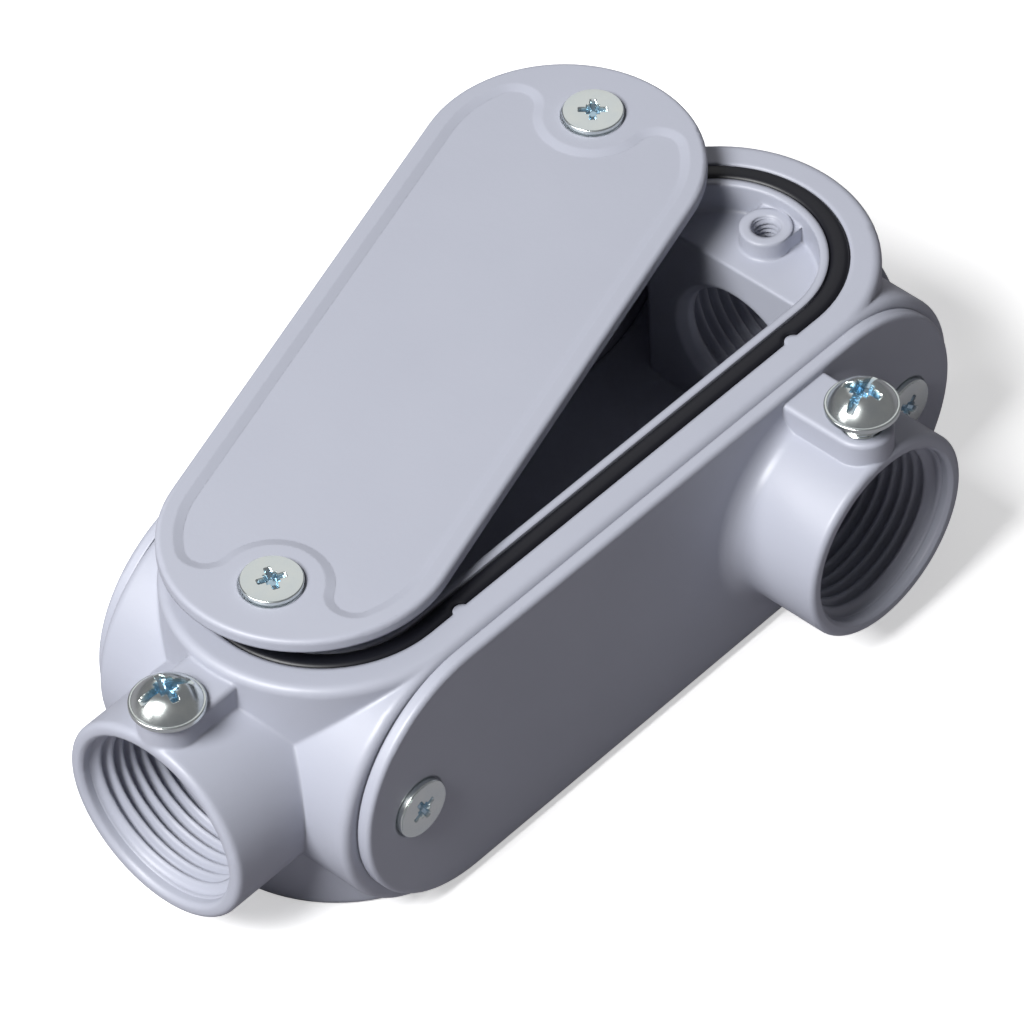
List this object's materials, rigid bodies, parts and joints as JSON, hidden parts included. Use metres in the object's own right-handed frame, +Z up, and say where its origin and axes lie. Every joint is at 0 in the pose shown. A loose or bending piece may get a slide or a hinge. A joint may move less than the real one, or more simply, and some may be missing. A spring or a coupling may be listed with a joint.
{
  "type": "conduit body",
  "caption": "Electrical conduit body: a cast wiring chamber with threaded hubs and screwed covers on gaskets, its top cover swung open on a loosened screw.",
  "frame": {"origin": "middle of the flat underside", "axes": "+X along the body away from its outer threaded hub, -Y towards the cover that carries a hub, +Z up"},
  "size_m": [0.1355, 0.0854, 0.0479],
  "materials": {
    "casting": "painted light grey, satin",
    "cover_paint": "painted light grey, satin",
    "gasket": "matte black",
    "screw_zinc": "zinc plated, bluish, bright",
    "set_screw_zinc": "zinc plated, bluish, bright"
  },
  "bodies": {
    "casting": {"conduit_body": "casting", "side_cover": "cover_paint", "hub_cover": "cover_paint", "top_gasket": "gasket", "side_gasket": "gasket", "hub_cover_gasket": "gasket", "side_cover_screw_near": "screw_zinc", "side_cover_screw_far": "screw_zinc", "hub_cover_screw_near": "screw_zinc", "hub_cover_screw_far": "screw_zinc"},
    "pivot_screw": {"top_pivot_screw": "screw_zinc"},
    "swinging_cover": {"top_cover": "cover_paint", "top_latch_screw": "screw_zinc"},
    "hub_clamp_screw": {"hub_set_screw": "set_screw_zinc"},
    "cover_clamp_screw": {"cover_hub_set_screw": "set_screw_zinc"}
  },
  "joints": [
    {"name": "pivot_screw_drive", "type": "slide", "parent": "casting", "child": "pivot_screw", "axis": [0, 0, 1], "range_m": [-0.003, 0.0005]},
    {"name": "top_cover_swing", "type": "hinge", "parent": "pivot_screw", "child": "swinging_cover", "pos_m": [-0.0489, 0, 0.045], "axis": [0, 0, 1], "range_deg": [-16.6, 50]},
    {"name": "hub_set_screw_drive", "type": "slide", "parent": "casting", "child": "hub_clamp_screw", "axis": [0, 0, 1], "range_m": [0, 0.003]},
    {"name": "cover_set_screw_drive", "type": "slide", "parent": "casting", "child": "cover_clamp_screw", "axis": [0, 0, 1], "range_m": [-0.0029, 0.001]}
  ]
}
